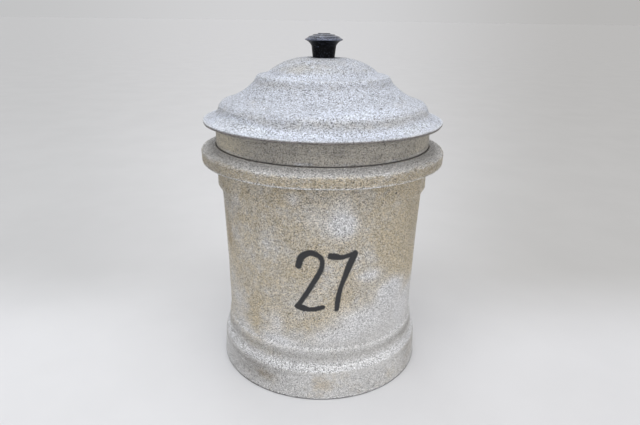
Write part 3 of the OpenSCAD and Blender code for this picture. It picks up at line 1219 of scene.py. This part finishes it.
        # Painted contact shadow: a dark line round the foot where it meets the table
        contact_shadow_line = np.where(form.over(r) > self.foot_r - 1.2, z - 0.8, NO_INK)
        return {
            "turned": form.over(form.skin(Skin.TURNED)),
            "wear": (form.over(np.clip(0.24 * bend_here, 0, 0.34) * outer) + 0.42 * rubbed_and_highlight
                     - 0.13 * rim_round + rim_edge),
            # Grime with painted shade: inward corners, the rim's top and side, the seat's joint, dirt and
            # shade blotches, hidden faces
            "grime": (form.over(np.clip(-0.35 * bend_here, 0, 0.6)) + 0.50 * rim_top + 1.2 * joint
                      + 0.37 * rim_side + blotches(self.soils_and_shade, x, z)
                      + 0.25 * form.over(form.skin(Skin.HIDDEN))),
            "patina": (0.12 + 0.50 * ramp(z, edge, 24) - 0.8 * rim_top + 0.15 * rim_side
                       - 0.5 * rim_round + blotches(self.tans, x, z)),
            "silver": blotches(self.silver, x, z) + 0.70 * rubbed_and_highlight,
            "stain": blotches(self.stains, x, z),
            "grit": (0.45 + 0.75 * ramp(z, edge - 8, 45) + 0.25 * (z < self.foot_side_h)
                     + 0.7 * step + 0.6 * slope + 0.5 * rim_round),
            "ink": np.minimum.reduce([self.number.distance(x, z), around_lid, contact_shadow_line]),
        }

    def surface(self) -> Surface:
        """Turns the section, pushes in the lumps and adds the marks.

        Turned faces, the poles and the edge that stands on the table stay true.

        Returns:
            The jar's surface.
        """
        form = Turning(self.section(), crowded_angles(self.columns, self.crowd, self.crowd_width))
        share = 1.0 - form.skin(Skin.TURNED)
        share[:2] = share[-2:] = 0
        form.sink(self.lumps, np.minimum(share, ramp(form.path[:, 1], 0, 1.5)))
        form.made.marks = self.marks(form)
        return form.made

    def build(self, effects: Effects) -> bpy.types.Object:
        """Makes the jar and puts it in place of its plain solid."""
        piece = self.surface().piece("jar_casting", self.skin.material(effects))
        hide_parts("jar_body")
        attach(piece, "jar")
        return piece


@dataclass
class LidCasting:
    """Lid in one casting: turned collar, brim, two steps and dome, hollow behind."""

    skin: CastSkin
    edge_r: float = 0.8
    soft_r: float = 2.4
    seat_z: float = 180.1
    collar_r: float = 85.2
    collar_wall: float = 5.6
    brim_z: float = 204.9
    brim_w: float = 9.4
    lip_t: float = 2.9
    low_step_in: float = 15.0
    low_step_h: float = 12.8
    low_cove_sag: float = 3.0
    low_bevel_w: float = 2.5
    low_bevel_h: float = 2.9
    high_step_in: float = 27.9
    high_step_h: float = 19.7
    high_cove_sag: float = 1.9
    riser_lean: float = 3.1
    high_riser_h: float = 5.3
    terrace_w: float = 8.2
    terrace_rise: float = 1.7
    dome_h: float = 11.3
    crown_r: float = 14.0
    lid_wall: float = 5.0
    spot_r: float = 9.0
    spot_depth: float = 0.4
    screw_hole_r: float = 2.8
    boss_r: float = 9.5
    boss_t: float = 7.0
    rim_top_z: float = 188.1
    edge_reach: float = 1.1
    lumps: Unevenness = field(default_factory=lambda: Unevenness(29, 50.0, 7.0))
    columns: int = 306
    # Painted highlights and sheen on the front of the brim and the steps, bluish on the front left
    silver: tuple[Blotch, ...] = (
        Blotch(-72, 211, 34, 6, 0.9), Blotch(30, 222, 40, 5, 0.35), Blotch(-20, 241, 34, 2.5, 0.4),
        Blotch(80, 212, 30, 6, 0.4), Blotch(0, 221, 80, 2.2, 0.2), Blotch(0, 209.5, 110, 2.5, 0.4),
    )
    stains: tuple[Blotch, ...] = (
        Blotch(75, 209, 14, 4, 0.25), Blotch(75, 225, 25, 8, 0.1), Blotch(-60, 226, 18, 6, 0.15),
        Blotch(-90, 195, 36, 12, 0.9), Blotch(90, 195, 30, 12, 0.4), Blotch(20, 184, 26, 20, 0.2),
    )

    def heights(self) -> dict[str, float]:
        """Heights of the steps, stacked from the brim up."""
        z = {"lip_top": self.brim_z + self.lip_t}
        z["low"] = z["lip_top"] + self.low_step_h
        z["high"] = z["low"] + self.high_step_h
        z["terrace"] = z["high"] + self.terrace_rise
        z["crown"] = z["terrace"] + self.dome_h
        z["spot"] = z["crown"] - self.spot_depth
        return z

    def dome(self, start_r: float, crown_z: float) -> np.ndarray:
        """Arc from the terrace to the flat crown, level where it meets the crown.

        Its radius is the run squared plus the rise squared, over two rises.

        Args:
            start_r: radius where the dome starts.
            crown_z: height of the crown.

        Returns:
            Inner points of the arc.
        """
        run = start_r - self.crown_r
        radius = (run**2 + self.dome_h**2) / (2 * self.dome_h)
        sweep = math.asin(run / radius)
        angle = math.pi / 2 - sweep * (1 - np.arange(1, 30) / 30)
        return np.stack([self.crown_r + radius * np.cos(angle),
                         crown_z - radius + radius * np.sin(angle)], axis=1)

    def section(self) -> Section:
        """Half section from the collar's lower edge, out, over the top and back inside.

        Returns:
            The closed section, a ring round the screw hole.
        """
        z = self.heights()
        brim = self.collar_r + self.brim_w
        low = brim - self.low_step_in
        high = low - self.high_step_in
        terrace, collar_in = high - self.terrace_w, self.collar_r - self.collar_wall
        dome = self.dome(terrace, z["crown"])
        bevel = (low + self.low_bevel_w, z["low"] - self.low_bevel_h)
        foot = (high + self.riser_lean, z["high"] - self.high_riser_h)
        high_cove = arc_between((low, z["low"]), foot, -self.high_cove_sag)
        top = np.vstack([[low, z["low"]], high_cove, foot, [high, z["high"]],
                         [terrace, z["terrace"]], dome, [self.crown_r, z["crown"]]])
        inside = inset(top, self.lid_wall)
        throat = inside[0]
        inside = inside[inside[:, 0] > self.boss_r + self.edge_r][::-1]
        boss_z, inner_z = z["spot"] - self.boss_t, z["crown"] - self.lid_wall
        cut = Section(closed=True)
        cut.corner(collar_in, self.seat_z, self.edge_r, Skin.TURNED)
        cut.corner(self.collar_r, self.seat_z, self.edge_r, Skin.TURNED)
        cut.corner(self.collar_r, self.brim_z, self.edge_r)
        cut.corner(brim, self.brim_z, self.lip_t / 2)
        cut.corner(brim, z["lip_top"], self.lip_t / 2)
        cut.curve(arc_between((brim, z["lip_top"]), bevel, -self.low_cove_sag))
        cut.corner(*bevel, self.edge_r)
        cut.corner(low, z["low"], self.edge_r)
        cut.curve(high_cove)
        cut.corner(*foot)
        cut.corner(high, z["high"], self.edge_r)
        cut.corner(terrace, z["terrace"], self.soft_r)
        cut.curve(dome)
        cut.corner(self.crown_r, z["crown"])
        cut.corner(self.spot_r, z["crown"], skin=Skin.TURNED)
        cut.corner(self.spot_r, z["spot"], skin=Skin.TURNED)
        cut.corner(self.screw_hole_r, z["spot"], skin=Skin.HIDDEN)
        cut.corner(self.screw_hole_r, boss_z, skin=Skin.TURNED)
        cut.corner(self.boss_r, boss_z, self.edge_r, Skin.HIDDEN)
        cut.corner(self.boss_r, inner_z, self.edge_r, Skin.HIDDEN)
        cut.curve(inside, Skin.HIDDEN)
        cut.corner(collar_in, throat[1] - abs(collar_in - throat[0]), skin=Skin.HIDDEN)
        return cut

    def marks(self, form: Turning, z: np.ndarray) -> dict[str, np.ndarray]:
        """Works out where the layers of the finish lie, each as a strength about 0 to 1.

        Steep faces are painted darker, as shade under light from above, and browner, the upper
        ones more so; inward corners are painted darker as shade; the dome is a little warmer;
        the underside of the brim is dark with dirt and painted shade; silver bands on the brim
        and steps are painted highlights and sheen; a bright strip runs round the foot of the
        collar, and ink draws the line where the collar leaves the rim.

        Args:
            form: the turned section.
            z: height of each vertex before the lumps are pushed in.

        Returns:
            One number for each vertex, by the name of the mark.
        """
        z_of, (r, height) = self.heights(), form.path.T
        x, bend_here = form.x(), form.bend(self.edge_reach)
        outer = form.skin(Skin.CAST)
        collar = form.over(form.skin(Skin.TURNED) * (height < self.brim_z))
        strip = np.exp(-((z - self.rim_top_z - 1.7) / 1.8) ** 4) * collar
        upward = outward(form.path, form.closed)[:, 1]
        # Steep faces painted darker, as the shade they take under light from above, and browner
        slant = np.clip(1.9 - 2.6 * upward, 0, 1) * outer * (height > self.brim_z + 4)
        steep = form.over(softened(slant, form.path, 3.0) * outer)
        upper = z > z_of["low"] + 4.4
        # Dirt and painted shade under the brim: its underside and lower edge darkened
        under = (ramp(-z, -self.brim_z - 2.6, 0.9)
                 * form.over((r > self.collar_r + 0.2) * (height > self.brim_z - 0.5)))
        joint = ramp(-z, -self.rim_top_z - 0.4, 0.4) * collar
        dome = ramp(z, z_of["terrace"] + 1.0, 3.0) * form.over(outer)
        return {
            "turned": form.over(form.skin(Skin.TURNED)),
            "wear": form.over(np.clip(0.30 * bend_here, 0, 0.36) * outer),
            # Grime with painted shade: inward corners, the underside of the brim, steep faces, the collar's
            # joint and hidden faces
            "grime": (form.over(np.clip(-0.30 * bend_here, 0, 0.4)) + 0.95 * under
                      + (0.30 + 0.46 * upper) * steep + 1.1 * joint
                      + 0.25 * form.over(form.skin(Skin.HIDDEN))),
            "patina": 0.10 + (0.55 - 0.20 * upper) * steep + 0.28 * dome,
            "silver": blotches(self.silver, x, z) + 0.25 * strip - 0.3 * (collar - strip),
            "stain": blotches(self.stains, x, z),
            "grit": 1.0 + 0.60 * dome,
            "ink": np.where(collar > 0, np.abs(z - self.rim_top_z - 0.2) - 0.45, NO_INK),
        }

    def surface(self) -> Surface:
        """Turns the section, pushes in the lumps and adds the marks.

        Turned faces, the crown round the knob and the root of the brim stay true.

        Returns:
            The lid's surface.
        """
        form = Turning(self.section(), FRONT + even_angles(self.columns))
        r, height = form.path.T
        share = form.skin(Skin.CAST) * ramp(r, self.spot_r + 0.5, 3)
        share *= ramp(np.hypot(r - self.collar_r, height - self.brim_z), 0, 3)
        z = form.made.points[:, 2].copy()
        form.sink(self.lumps, share)
        form.made.marks = self.marks(form, z)
        return form.made

    def build(self, effects: Effects) -> bpy.types.Object:
        """Makes the lid and puts it in place of its plain solid."""
        piece = self.surface().piece("lid_casting", self.skin.material(effects))
        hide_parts("lid")
        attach(piece, "lid")
        return piece


@dataclass
class Knob:
    """Moulded knob: stem, flared cap with rings, and the pocket of its insert."""

    finish: Moulding
    base_z: float = 252.9
    height: float = 18.4
    foot_r: float = 8.5
    stem_r: float = 9.5
    cap_r: float = 14.7
    stem_h: float = 9.0
    flare_h: float = 4.4
    edge_t: float = 0.6
    ring_h: float = 0.45
    ring_bevel: float = 0.25
    ring_shares: tuple[float, ...] = (0.8, 0.57, 0.32)
    pocket_r: float = 4.03
    pocket_h: float = 10.5
    edge_reach: float = 0.35
    columns: int = 120

    def section(self) -> Section:
        """Half section from the pocket's edge, out, over the cap and down the pocket.

        Returns:
            The open section, both ends on the axis.
        """
        stem_z = self.base_z + self.stem_h
        low_z = stem_z + self.flare_h
        top_z, apex = low_z + self.edge_t, self.base_z + self.height
        rise = apex - top_z
        cut = Section(closed=False)
        cut.corner(0, self.base_z + self.pocket_h)
        cut.corner(self.pocket_r, self.base_z + self.pocket_h)
        cut.corner(self.pocket_r, self.base_z)
        cut.corner(self.foot_r, self.base_z, self.ring_bevel)
        cut.corner(self.stem_r, stem_z)
        cut.curve(arc_between((self.stem_r, stem_z), (self.cap_r, low_z), -self.flare_h / 6))
        cut.corner(self.cap_r, low_z, 0.15)
        cut.corner(self.cap_r, top_z, 0.3)
        for share in self.ring_shares:
            r, z = self.cap_r * share, apex - rise * share**2
            cut.corner(r + self.ring_bevel, z, 0.2)
            cut.corner(r, z + self.ring_h, 0.2)
        cut.corner(0, apex)
        return cut

    def surface(self) -> Surface:
        """Turns the section, with dust and painted sheen on its cap, less in the ring grooves,
        and wear and painted highlights on its edges.

        Returns:
            The knob's surface.
        """
        form = Turning(self.section(), even_angles(self.columns), 4)
        bend_here = form.bend(self.edge_reach)
        on_cap = ramp(form.path[:, 1], self.base_z + self.stem_h + self.flare_h - 0.2, 0.3)
        form.made.marks = {
            "wear": form.over(np.clip(0.5 * bend_here, 0, 0.7) * on_cap),
            # Dust with painted sheen on the cap's flats, less in the ring grooves
            "dust_and_sheen": form.over((0.5 - np.clip(-0.9 * bend_here, 0, 0.6)) * on_cap),
            "cap": form.over(on_cap),
        }
        return form.made

    def build(self, effects: Effects) -> bpy.types.Object:
        """Makes the knob and puts it in place of its plain solid."""
        piece = self.surface().piece("moulded_knob", self.finish.material(effects))
        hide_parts("knob")
        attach(piece, "lid")
        return piece


@dataclass
class Fixing:
    """Insert, screw and washers: their own solids with turned-metal finishes."""

    finishes: dict[str, TurnedMetal]

    def dress(self, effects: Effects) -> None:
        """Gives each solid its finish."""
        for node, finish in self.finishes.items():
            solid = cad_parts[node]
            solid.data.materials.clear()
            solid.data.materials.append(finish.material(effects))
            log.info("dressed %s in %s", node, finish.name)


# Studio


@dataclass
class Studio:
    """Pale floor with the light's falloff painted into its tones, soft light and the camera at the
    photograph's angle.
    """

    floor_radius: float = 60.0
    floor_z: float = -0.02
    # Floor tones with painted light: bright near the jar and in front, dimmer far off, on the right and
    # beside
    near_left: Colour = (0.715, 0.72, 0.74)
    near_right: Colour = (0.675, 0.675, 0.69)
    middle: Colour = (0.645, 0.645, 0.655)
    left: Colour = (0.548, 0.55, 0.555)
    right: Colour = (0.485, 0.479, 0.472)
    beside: Colour = (0.44, 0.44, 0.445)
    beside_lit: Colour = (0.385, 0.385, 0.39)
    reflected: float = 1.012
    aim: tuple[float, float, float] = (0.0, 0.0, 0.13)
    lens: float = 30.375
    sensor: float = 36.0
    eye: tuple[float, float, float] = (-0.00117, -0.4346, 0.2822)
    pitch: float = 19.83
    roll: float = 0.80

    def floor(self) -> bpy.types.Object:
        """Disc under the jar, in rings whose radius rises with the cube of their number.

        Returns:
            The floor.
        """
        rings, columns = 47, 96
        angles = even_angles(columns)
        radius = self.floor_radius * np.linspace(0, 1, rings + 1)[:0:-1, None] ** 3 / MM
        height = np.full((rings, columns), self.floor_z)
        points = np.stack([radius * np.cos(angles), radius * np.sin(angles), height], axis=2).reshape(-1, 3)
        here = np.arange(len(points) - columns, len(points))
        fan = np.stack([here, np.roll(here, -1), np.full(columns, len(points))], axis=1)
        made = Surface(np.vstack([points, [[0, 0, self.floor_z]]]),
                       ring_faces(rings, columns, False), fan)
        piece = made.piece("floor", self.floor_material())
        return piece

    def floor_material(self) -> bpy.types.Material:
        """Matt paper with light painted into its tones: brighter near tones under and before the
        jar, dimmer far tones beyond, dimmer on the right and beside.
        """
        made, bench = new_finish("pale paper")
        point = bench.point()
        length = bench.node("ShaderNodeVectorMath", operation="LENGTH")
        bench.feed(length.inputs[0], point)
        x, y, _ = bench.parts(point)
        away = bench.add(bench.absolute(y), -self.eye[1])
        far = bench.scale(self.backdrop(bench, bench.math("DIVIDE", x, away), self.beside_lit),
                          self.reflected)
        near = bench.mix(bench.spread(x, -0.1, 0.2), self.near_left, self.near_right)
        around = bench.times(bench.less(length.outputs["Value"], 0.4), 0.35)
        colour = bench.mix(bench.spread(bench.most(y, around), -0.03, 0.17), near, far)
        cloudy = bench.spread(bench.noise(point, 9.0, 3.0, 0.6), 0.3, 0.7, 0.985, 1.015)
        bench.shell(Base_Color=bench.scale(colour, cloudy), Roughness=0.9, Specular_IOR_Level=0.2)
        return made

    def backdrop(self, bench: Bench, ratio: Socket, beside: Colour) -> Socket:
        """Tone of the paper far off, as the world's light and as the floor's painted falloff:
        brightest in the middle, and dimmer on the right.

        Args:
            bench: tree that the nodes go into.
            ratio: distance to the right over distance from the front.
            beside: tone of the paper beside the jar.

        Returns:
            The colour.
        """
        sides = bench.mix(bench.spread(ratio, -0.3, 0.3), self.left, self.right)
        off = bench.absolute(bench.add(ratio, 0.05))
        wall = bench.spread(bench.absolute(ratio), 0.7, 1.8)
        return bench.mix(wall, bench.mix(bench.spread(off, 0.06, 0.52), self.middle, sides), beside)

    def world(self) -> None:
        """Soft light in the tones of the paper, so that no horizon shows, and dimmer beside."""
        world = bpy.data.worlds.new("studio")
        bpy.context.scene.world = world
        world.use_nodes = True
        bench = Bench(world.node_tree)
        x, y, _ = bench.parts(bench.point())
        ratio = bench.math("DIVIDE", x, bench.most(bench.absolute(y), 0.05))
        bench.give(world.node_tree.nodes["Background"], Strength=1.0,
                   Color=self.backdrop(bench, ratio, self.beside))

    def light(self, name: str, kind: str, **settings: object) -> bpy.types.Object:
        """Adds a light and sets its properties."""
        data = bpy.data.lights.new(name, kind)
        for setting, value in settings.items():
            setattr(data, setting, value)
        lamp = bpy.data.objects.new(name, data)
        bpy.context.scene.collection.objects.link(lamp)
        return lamp

    def lamp(self, name: str, place: tuple[float, float, float], size: float, power: float,
             colour: Colour) -> None:
        """Square soft light aimed at the jar.

        Args:
            name: name of the light.
            place: where it hangs, in metres.
            size: length of its side, in metres.
            power: its power in watts.
            colour: its tint.
        """
        lamp = self.light(name, "AREA", size=size, energy=power, color=colour)
        back = unit(np.array(place) - self.aim)
        side = unit(np.cross([0.0, 0.0, 1.0], back))
        turn = Matrix(np.stack([side, np.cross(back, side), back], axis=1).tolist()).to_4x4()
        lamp.matrix_world = Matrix.Translation(place) @ turn
        lamp.visible_camera = False

    def daylight(self, name: str, lean: tuple[float, float], strength: float, spread: float,
                 colour: Colour) -> None:
        """Broad even light from far off, which lights the whole floor alike.

        Args:
            name: name of the light.
            lean: tilt about X and then about Y, in degrees; nought shines straight down.
            strength: light that falls on a face turned to it.
            spread: angle that it comes from, in degrees.
            colour: its tint.
        """
        lamp = self.light(name, "SUN", energy=strength, angle=math.radians(spread), color=colour)
        lamp.rotation_euler = (math.radians(lean[0]), math.radians(lean[1]), 0.0)

    def camera(self) -> None:
        """Camera with the photograph's lens, place, tilt and slight roll."""
        data = bpy.data.cameras.new("camera")
        data.sensor_width = self.sensor
        data.lens = self.lens
        camera = bpy.data.objects.new("camera", data)
        bpy.context.scene.collection.objects.link(camera)
        tilt = Matrix.Rotation(math.radians(90 - self.pitch), 4, "X")
        roll = Matrix.Rotation(math.radians(self.roll), 4, "Z")
        camera.matrix_world = Matrix.Translation(self.eye) @ tilt @ roll
        bpy.context.scene.camera = camera

    def build(self) -> None:
        """Sets up the floor, the lights and the camera."""
        self.floor()
        self.world()
        self.daylight("daylight", (12.0, 0.0), 1.50, 60.0, (1.0, 1.0, 1.0))
        self.daylight("fill", (35.7, 70.6), 0.44, 40.0, (1.0, 0.98, 0.95))
        self.lamp("key", (-0.35, -0.80, 1.50), 1.0, 3.0, (0.98, 0.99, 1.0))
        self.lamp("window", (-0.12, 0.70, 0.92), 0.16, 0.5, (0.86, 0.92, 1.0))
        self.camera()
        bpy.context.scene.view_settings.view_transform = "Standard"


# Assembly


JAR_SKIN = CastSkin(
    name="patinated casting", grey=(0.505, 0.50, 0.495), patina=(0.425, 0.368, 0.268),
    stain=(0.33, 0.27, 0.185), silver=(0.61, 0.61, 0.62), worn_and_highlight=(0.78, 0.80, 0.84),
    grime=(0.165, 0.152, 0.135), turned=(0.37, 0.35, 0.315))

LID_SKIN = CastSkin(
    name="pale casting", grey=(0.565, 0.595, 0.665), patina=(0.48, 0.47, 0.445),
    stain=(0.60, 0.55, 0.44), silver=(0.75, 0.80, 0.92), worn_and_highlight=(0.84, 0.865, 0.92),
    grime=(0.215, 0.195, 0.175), turned=(0.425, 0.40, 0.355), contrast=4.2,
    dark=3.6, peak=1.32, bump=0.36, grains=2000.0)

KNOB_FINISH = Moulding(name="black phenolic", body=(0.004, 0.004, 0.005), dust_and_sheen=(0.25, 0.285, 0.41))

FIXING_FINISHES = {
    "knob_insert": TurnedMetal("turned brass", (0.80, 0.60, 0.27), (0.48, 0.33, 0.14), 0.30),
    "knob_screw": TurnedMetal("zinc-plated screw", (0.66, 0.66, 0.63), (0.42, 0.40, 0.36), 0.36),
    "flat_washer": TurnedMetal("zinc-plated washer", (0.70, 0.70, 0.68), (0.46, 0.44, 0.40), 0.34),
    "spring_washer": TurnedMetal("dark spring steel", (0.36, 0.36, 0.36), (0.22, 0.19, 0.16), 0.42),
}


def main() -> None:
    """Builds the pieces in order and reports each one."""
    logging.basicConfig(level=logging.INFO, format="%(message)s")
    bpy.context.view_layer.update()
    effects = Effects()
    for maker in (JarCasting(JAR_SKIN, HandNumber()), LidCasting(LID_SKIN), Knob(KNOB_FINISH)):
        piece = maker.build(effects)
        log.info("%s: %d vertices, %d faces", piece.name, len(piece.data.vertices),
                 len(piece.data.polygons))
    Fixing(FIXING_FINISHES).dress(effects)
    Studio().build()


if __name__ == "__main__":
    main()
